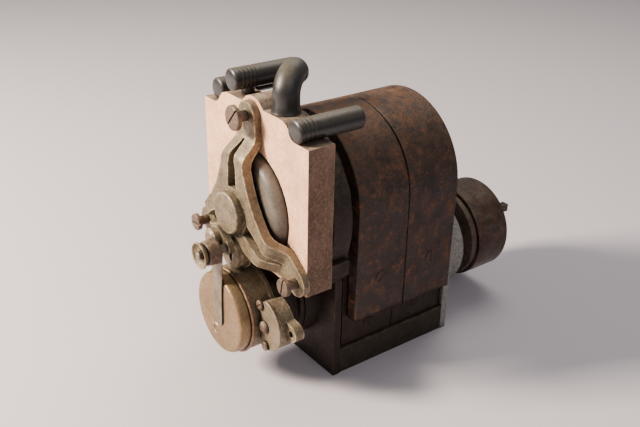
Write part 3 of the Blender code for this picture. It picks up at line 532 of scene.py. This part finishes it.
fibre = bpy.data.materials.new("faded_pressed_fibre")
fibre.use_nodes = True
tree = fibre.node_tree
shader = tree.nodes["Principled BSDF"]
face_tone = add(tree, "Group", {}, node_tree=mottled)
shaded_side_tone = add(tree, "Group", {}, node_tree=mottled)
fibre_tones = (
    (face_tone, (0.68, 0.33, 0.175, 1.0), (0.95, 0.57, 0.345, 1.0), (0.70, 0.36, 0.235, 1.0), 90.0),
    (shaded_side_tone, (0.052, 0.028, 0.017, 1.0), (0.135, 0.076, 0.046, 1.0), (0.085, 0.040, 0.023, 1.0), 80.0),
)
for tone, dark, light, stain, scale in fibre_tones:
    tone.inputs["Dark"].default_value = dark
    tone.inputs["Light"].default_value = light
    tone.inputs["Stain"].default_value = stain
    tone.inputs["Scale"].default_value = scale
# Faces that do not look along Y take the dark brown tone: painted shade on the block's sides and edges.
axes = add(tree, "SeparateXYZ", {0: add(tree, "TexCoord", {}).outputs["Normal"]})
side_shade_mask = spread(tree, worked(tree, "MULTIPLY", axes.outputs["Y"], axes.outputs["Y"]), 0.75, 0.35)
tint = blended(tree, side_shade_mask, face_tone.outputs["Color"], shaded_side_tone.outputs["Color"])
fleck = spread(tree, cloud(tree, 540.0, 4.0, 0.8), 0.50, 0.66, 0.0, 0.45)
tint = blended(tree, fleck, tint, (0.40, 0.20, 0.12, 1.0))
fingers = spread(tree, cloud(tree, 28.0, 7.0, 0.7, (1.0, 1.0, 0.45)), 0.52, 0.74, 0.0, 0.5)
tint = blended(tree, fingers, tint, (0.34, 0.20, 0.145, 1.0))
block_wear = add(tree, "Group", {}, node_tree=edge_wear)
block_wear.inputs["Width"].default_value = 1.1 * MM
tint = blended(tree, block_wear.outputs["Mask"], tint, (0.55, 0.42, 0.33, 1.0))
block_dust = add(tree, "Group", {}, node_tree=settled_dust)
block_dust.inputs["Amount"].default_value = 0.9
block_dust.inputs["Everywhere"].default_value = 0.04
# Ambient occlusion darkens the block's corners to a dark brown: painted shade.
block_corner_shade = add(tree, "Group", {}, node_tree=grime)
tint = blended(tree, block_dust.outputs["Mask"], tint, (0.34, 0.25, 0.165, 1.0))
tint = blended(tree, block_corner_shade.outputs["Mask"], tint, (0.055, 0.034, 0.022, 1.0))
felt = add(tree, "Group", {}, node_tree=grain)
felt.inputs["Tooth"].default_value = 1900.0
felt.inputs["Dents"].default_value = 210.0
tree.links.new(tint, shader.inputs["Base Color"])
tree.links.new(spread(tree, face_tone.outputs["Mask"], 0.0, 1.0, 0.72, 0.9), shader.inputs["Roughness"])
fibre_bump = add(tree, "Bump", {"Height": felt.outputs["Height"], "Strength": 0.35, "Distance": 0.0005})
tree.links.new(fibre_bump.outputs[0], shader.inputs["Normal"])
dressed("distributor_block", fibre, "frame", "fibre", 0.8)


# ------------------------------------------------------------------ distributor rotor
# A domed moulding of grey vulcanite that turns with the distributor gear. Its crown is rubbed
# smooth, and its hollow middle, round the shaft, is painted darker as shade.


def turned(profile, centre, rounding, steps=96, upright=False):
    """A profile of (radius, height) corners, eased, and swept round an axis through centre.

    The axis lies along Y, or along Z when upright, and a station is one corner's whole circle.
    """
    radius, height = eased(profile, rounding).T
    angle = np.linspace(0, 2 * np.pi, steps, endpoint=False)
    first = centre[0] + radius[:, None] * np.cos(angle)
    second = centre[1] + radius[:, None] * np.sin(angle)
    level = np.broadcast_to(height[:, None], first.shape)
    if upright:
        return np.stack([first, second, level], axis=-1)
    return np.stack([first, level, second], axis=-1)


vulcanite = weathered(
    "greased_vulcanite", (0.055, 0.045, 0.035), (0.135, 0.115, 0.090), (0.19, 0.17, 0.14), 0.33, 0.0,
    scale=32.0, dust=0.4, film=0.10, relief=0.12, wear=0.3, dust_colour=(0.22, 0.15, 0.085, 1.0),
)
distributor = (0.0, 111.0)
rotor_profile = [(5.3, -58.9), (35.2, -58.9), (35.2, -75.5), (34.4, -79.0), (31.8, -81.9)]
rotor_profile += [(27.5, -83.3), (21.0, -83.5), (14.0, -81.5), (5.3, -81.0), (5.3, -58.9)]
rotor = lofted("distributor_rotor_dome", turned(rotor_profile, distributor, 1.6), weighted=False)
fitted(rotor, vulcanite, "distributor", "grey_vulcanite", "distributor_rotor")


# ------------------------------------------------------------------ spider bracket and its screws
# A three-armed brass casting carries the front bearing of the distributor and clamps the block.
# Each arm is slotted down its middle, and a shouldered screw goes through each eye.

# Its edges are rubbed wide and bright: partly worn brass, partly painted highlight on the bracket's rail
# edges.
dusty_brass = weathered(
    "dusty_cast_brass", (0.050, 0.034, 0.018), (0.245, 0.182, 0.100), (0.78, 0.63, 0.40), 0.45, 0.35,
    stain=(0.135, 0.110, 0.075), scale=120.0, dust=0.55, film=0.15, evenness=0.1,
    relief=1.0, tooth=520.0, wear=1.0, edge=1.5, dust_colour=(0.27, 0.205, 0.125, 1.0),
)
dressed("spider_bracket", dusty_brass, "frame", "dull_brass", 0.9)
head_back = -87.6
shank_start = head_back - 0.2
shank_end = -76.7
eye_radius = 56.8
for number, (degrees, slot_degrees, radius) in enumerate(((90, 50, 7.4), (210, 5, 5.5), (330, 80, 5.5)), 1):
    turn = math.radians(degrees)
    x = eye_radius * math.cos(turn)
    z = distributor[1] + eye_radius * math.sin(turn)
    tilt = math.radians(slot_degrees)
    along = (math.cos(tilt), 0.0, math.sin(tilt))
    head = slotted_head((x, head_back, z), (0, -1, 0), along, radius, 2.8, 1.2, 0.5, 7.0)
    shank = turned([(0, shank_start), (3.1, shank_start), (3.1, shank_end), (0, shank_end)], (x, z), 0.2, 32)
    screw = lofted(f"bracket_screw_{number}", head, shank)
    fitted(screw, head_steel, "frame", "rusty_steel", f"spider_screw_{number}")


# ------------------------------------------------------------------ lower boss and terminal
# The brass boss under the bracket has an oval oil pocket, and its lug holds the terminal post.
# On the post are an insulating barrel, the dished thumb nut and the spring that holds the cap.

dressed("oiler_boss", dusty_brass, "frame", "dull_brass", 0.35)
post = (2.5, 90.0)
stud_steel = weathered(
    "terminal_steel", (0.11, 0.09, 0.07), (0.30, 0.26, 0.20), (0.5, 0.45, 0.36), 0.38, 0.8,
    scale=300.0, dust=0.35, film=0.15, edge=0.4, relief=0.3,
)
stud = turned([(0, -117.2), (2.0, -117.2), (2.5, -116.6), (2.5, -98.6), (0, -98.6)], post, 0.3, 40)
fitted(lofted("terminal_stud_turned", stud), stud_steel, "frame", "bright_steel", "terminal_stud")
barrel_profile = [(2.8, -112.6), (6.8, -112.6), (7.4, -112.0), (7.8, -105.1), (2.8, -105.1), (2.8, -112.6)]
barrel = turned(barrel_profile, post, 0.5, 56)
fitted(lofted("terminal_barrel_turned", barrel), head_steel, "frame", "rusty_steel", "terminal_barrel")
nut_profile = [(2.8, -112.9), (6.0, -112.9), (8.2, -115.4), (8.2, -116.4), (7.5, -116.4)]
nut_profile += [(6.6, -115.2), (5.0, -114.1), (2.8, -114.1), (2.8, -112.9)]
nut = lofted("terminal_nut_dished", turned(nut_profile, post, 0.45, 64))
fitted(nut, dusty_brass, "thumb_nut", "dull_brass", "terminal_nut")
leaf_steel = weathered(
    "tarnished_leaf", (0.10, 0.080, 0.058), (0.26, 0.215, 0.16), (0.45, 0.38, 0.28), 0.4, 0.6,
    scale=130.0, dust=0.3, film=0.25, edge=0.3, relief=0.3, dents=60.0,
)
dressed("clip_spring", leaf_steel, "clip", "bright_steel", 0.2, 2)


# ------------------------------------------------------------------ breaker housing, cap and timing lug
# The brass housing turns to set the timing, by the ear on its side. Its pressed lid is tan
# lacquer over brass, seated on a copper ring, and the lug's light cover has three screws.

shaft = (0.0, 45.0)
dressed("breaker_housing", dusty_brass, "timing", "dull_brass", 0.5)
lacquer = weathered(
    "rubbed_tan_lacquer", (0.150, 0.088, 0.037), (0.33, 0.215, 0.105), (0.66, 0.62, 0.42), 0.34, 0.5,
    stain=(0.215, 0.115, 0.048), scale=50.0, dust=0.2, film=0.05, relief=0.4, wear=1.0, dents=45.0,
)
dressed("breaker_cap", lacquer, "timing", "cap_lacquer", 0.7)
peep = (-3.2, 32.6)
lip_section = [(2.6, -103.45), (2.75, -103.95), (3.3, -103.95), (3.9, -103.45)]
lip = lofted("peep_hole_lip", turned([*lip_section, lip_section[0]], peep, 0.15, 48))
fitted(lip, lacquer, "timing", "cap_lacquer")
rubbed_copper = weathered(
    "rubbed_copper", (0.20, 0.085, 0.045), (0.45, 0.22, 0.125), (0.66, 0.40, 0.26), 0.34, 0.8,
    scale=200.0, dust=0.25, film=0.08, edge=0.3, relief=0.2, grime=0.3,
)
ring_y = -95.3
ring_section = [(26.6, ring_y - 0.5), (27.75, ring_y - 0.5), (27.75, ring_y + 0.5), (26.6, ring_y + 0.5)]
copper_ring = lofted("lid_copper_ring", turned([*ring_section, ring_section[0]], shaft, 0.35))
fitted(copper_ring, rubbed_copper, "timing", "copper_wire")
cover_metal = weathered(
    "pale_lug_cover", (0.120, 0.090, 0.055), (0.300, 0.240, 0.160), (0.60, 0.50, 0.34), 0.4, 0.5,
    stain=(0.24, 0.13, 0.06), scale=120.0, dust=0.3, film=0.15, relief=0.5, wear=0.9,
)
dressed("timing_lug_cover", cover_metal, "timing", "dull_brass", 0.35, 2)
# Each row: x, z, head's radius and height, slot's angle and bluntness.
lug_screws = (
    (27.4, 60.5, 3.0, 1.8, 40, 5.0),
    (31.6, 47.2, 3.8, 2.6, 120, 2.4),
    (32.6, 34.4, 3.0, 1.8, 160, 5.0),
)
for number, (x, z, radius, height, slot_degrees, bluntness) in enumerate(lug_screws, 1):
    tilt = math.radians(slot_degrees)
    along = (math.cos(tilt), 0.0, math.sin(tilt))
    head = slotted_head((x, -90.3, z), (0, -1, 0), along, radius, height, 0.7, 0.4, bluntness)
    screw = lofted(f"lug_cover_screw_{number}", head)
    fitted(screw, head_steel, "timing", "rusty_steel", f"lug_screw_{number}")


# ------------------------------------------------------------------ lead sleeves
# Short black ebonite sleeves that grip the plug leads, ringed near the mouth so the lead can be
# tied in. Three lie back over the block and one turns up out of it; all have dust along the top.

ebonite = weathered(
    "dusty_ebonite", (0.008, 0.008, 0.008), (0.018, 0.017, 0.016), (0.14, 0.13, 0.11), 0.30, 0.0,
    scale=40.0, dust=0.62, film=0.04, evenness=0.75, relief=0.08, wear=0.7, edge=0.7, grime=0.5,
    dust_colour=(0.17, 0.14, 0.098, 1.0),
)
sleeve_r = 6.6
sleeve_end = -33.0


def ringed(radius, start, end, rings, first, pitch):
    """(radius, height) down a sleeve with rings of grooves: each groove is a raised cosine 0.5 deep."""
    height = np.linspace(start, end, 220)
    depth = np.abs(height - start)
    groove = np.zeros_like(height)
    for number in range(rings):
        offset = np.clip((depth - first - number * pitch) / 0.8, -1, 1)
        groove += 0.5 * (0.5 + 0.5 * np.cos(np.pi * offset))
    mouth = 1.3 * np.clip(1 - depth / 1.3, 0, 1) ** 2
    tail = 2.2 * np.clip(1 - (np.abs(end - start) - depth) / 2.2, 0, 1) ** 2
    return np.stack([radius - groove - mouth - tail, height], axis=-1)


def round_about(stations, centre, steps=72):
    """Full circles about a line along Y through centre, one for each (radius, y) station."""
    angle = np.linspace(0, 2 * np.pi, steps, endpoint=False)
    radius = stations[:, 0][:, None]
    x = centre[0] + radius * np.cos(angle)
    z = centre[1] + radius * np.sin(angle)
    return np.stack([x, np.broadcast_to(stations[:, 1][:, None], x.shape), z], axis=-1)


# Each row: side, x, z, mouth's y and number of rings.
sleeves = (
    ("left", -43.0, 170.5, -74.0, 3),
    ("middle", -19.0, 183.0, -79.0, 5),
    ("right", 43.0, 170.5, -78.0, 3),
)
block_middle_y = -67.0
block_saddle_z = 173.4
for word, x, z, front, rings in sleeves:
    grids = [round_about(ringed(sleeve_r, front, sleeve_end, rings, 4.5, 2.6), (x, z))]
    if word == "middle":
        stem = [(0, block_saddle_z), (4.0, block_saddle_z), (4.0, z - 3.0), (0, z - 3.0)]
        grids.append(turned(stem, (x, block_middle_y), 0.2, 40, upright=True))
    sleeve = lofted(f"lead_sleeve_{word}_moulded", *grids, weighted=False)
    fitted(sleeve, ebonite, "frame", "ebonite", "lead_sleeve_" + word)

# The upright sleeve: straight up to the knee, a quarter bend back to the left, and a domed end.
foot = np.array((20.0, block_middle_y, block_saddle_z))
heading = np.array((-0.5, 0.866, 0.0))
up = np.array((0.0, 0.0, 1.0))
bend_r = 11.0
knee_rise = 8.6
rising = np.linspace(0, knee_rise, 14)[:-1, None]
turn = np.linspace(0, np.pi / 2, 40)[:, None]
bend_start = foot + up * knee_rise
run = np.linspace(0, 6.0, 12)[1:, None]
bend = bend_start + heading * bend_r * (1 - np.cos(turn)) + up * bend_r * np.sin(turn)
line = np.concatenate([foot + up * rising, bend, bend[-1] + heading * run])
tangent_up = np.concatenate([np.ones_like(rising), np.cos(turn), np.zeros_like(run)])
tangent_out = np.concatenate([np.zeros_like(rising), np.sin(turn), np.ones_like(run)])
above = up * tangent_out - heading * tangent_up
beside = np.cross(heading, up)
travelled = np.linspace(0, 1, len(line))
flare = 0.9 * np.clip(1 - travelled / 0.12, 0, 1) ** 2
tail = 1.0 - np.clip((travelled - 0.86) / 0.14, 0, 1) ** 2
girth = (7.7 + flare) * np.sqrt(np.maximum(tail, 0.12))
round_angle = np.linspace(0, 2 * np.pi, 72, endpoint=False)[None, :, None]
section = above[:, None] * np.sin(round_angle) + beside[None, None] * np.cos(round_angle)
skin = line[:, None] + section * girth[:, None, None]
upright = lofted("lead_sleeve_upright_moulded", skin, weighted=False)
fitted(upright, ebonite, "frame", "ebonite", "lead_sleeve_upright")


# ------------------------------------------------------------------ drive coupling
# A turned steel flange and drum keyed to the shaft's drive end, with one square peg that the
# engine's half turns. The rust is even, but for broad pale grey-white blotches on the drum and peg.

coupling_steel = weathered(
    "rusted_coupling", (0.018, 0.010, 0.007), (0.088, 0.043, 0.025), (0.26, 0.19, 0.13), 0.36, 0.5,
    stain=(0.150, 0.118, 0.096), scale=95.0, rust=rust, rusting=0.5, dust=0.25, film=0.03,
    relief=0.7, wear=0.9, dust_colour=(0.150, 0.085, 0.045, 1.0),
)
bloom_steel = weathered(
    "bloomed_flange", (0.022, 0.015, 0.011), (0.12, 0.085, 0.06), (0.30, 0.26, 0.21), 0.6, 0.25,
    scale=90.0, rust=rust, rusting=0.5, dust=0.3, film=0.05, relief=0.8,
)
flange_profile = [(7.8, 76.2), (13.5, 76.2), (13.5, 84.0), (31.5, 84.0)]
flange_profile += [(31.5, 88.9), (7.8, 88.9), (7.8, 76.2)]
flange = lofted("coupling_flange_turned", turned(flange_profile, shaft, 0.8))
fitted(flange, bloom_steel, "armature", "rusty_steel", "coupling_flange")
drum_profile = [(7.8, 89.2), (33.4, 89.2), (33.4, 118.0), (7.8, 118.0), (7.8, 89.2)]
drum = lofted("coupling_drum_turned", turned(drum_profile, shaft, 1.2))
fitted(drum, coupling_steel, "armature", "rusty_steel", "coupling_drum")
dressed("coupling_peg", coupling_steel, "armature", "rusty_steel", 0.5)


# ------------------------------------------------------------------ high-tension collector
# An ebonite holder stands over the slip ring with the carbon brush in it, and an ebonite bar
# under the arch brings the current forward to the distributor.

dressed("brush_holder", ebonite, "frame", "ebonite", 0.5)
dressed("hightension_bar", ebonite, "frame", "ebonite", 0.5)

# The brush's spring: a helix of round wire, six turns. Its foot rides up with the brush.
spring_steel = weathered(
    "spring_steel", (0.20, 0.19, 0.18), (0.40, 0.39, 0.37), (0.6, 0.59, 0.57), 0.28, 1.0,
    scale=300.0, relief=0.1,
)
brush_y = 54.5
spring_foot = 72.3
spring_top = 91.7
spring_r = 3.2
wire_r = 0.55
turns = 6
wound = np.linspace(0, 2 * np.pi * turns, 28 * turns + 1)[:, None]
climb = np.linspace(spring_foot + wire_r, spring_top - wire_r, len(wound))[:, None]
from_axis = np.concatenate([np.cos(wound), np.sin(wound), np.zeros_like(wound)], axis=1)
centres = np.array((0.0, brush_y, 0.0)) + spring_r * from_axis + climb * up
round_wire = np.linspace(0, 2 * np.pi, 12, endpoint=False)[None, :, None]
wire = from_axis[:, None] * np.cos(round_wire) + up * np.sin(round_wire)
spring = lofted("brush_spring_wound", centres[:, None] + wire_r * wire, weighted=False)
fitted(spring, spring_steel, "brush", "bright_steel", "brush_spring")
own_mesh(spring)


# ------------------------------------------------------------------ inner works
# What the castings hide keeps its working shape and gets its own finish: iron core, varnished
# winding, steel gears and races, brass end spiders, and the breaker's bright steel.

machined_steel = weathered(
    "machined_steel", (0.20, 0.19, 0.18), (0.40, 0.39, 0.37), (0.6, 0.59, 0.57), 0.28, 1.0,
    scale=300.0, dust=0.1, film=0.03, relief=0.15,
)
inner_brass = weathered(
    "oiled_inner_brass", (0.23, 0.16, 0.07), (0.42, 0.31, 0.14), (0.6, 0.47, 0.24), 0.32, 1.0,
    scale=150.0, dust=0.15, film=0.04, relief=0.2,
)
winding_varnish = weathered(
    "varnished_winding", (0.10, 0.030, 0.012), (0.24, 0.085, 0.035), (0.3, 0.12, 0.05), 0.3, 0.2,
    scale=500.0, dust=0.15, relief=0.8, tooth=2200.0,
)
carbon = weathered(
    "brush_carbon", (0.010, 0.010, 0.010), (0.028, 0.028, 0.028), (0.06, 0.06, 0.06), 0.5, 0.0, relief=0.3
)
inner_works = (
    (machined_steel, "front_bearing rear_bearing pinion_gear breaker_screw fixed_contact rocker_arm"),
    (machined_steel, "rocker_spring cam_ring distributor_shaft"),
    (inner_brass, "distributor_bush distributor_gear front_shaft rear_shaft breaker_disc rotor_electrode"),
    (pole_iron, "armature_core condenser"),
    (winding_varnish, "armature_winding"),
    (ebonite, "slip_ring"),
    (carbon, "collector_brush"),
)
for material, names in inner_works:
    for name in names.split():
        node_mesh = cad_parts[name].data
        node_mesh.materials.clear()
        node_mesh.materials.append(material)
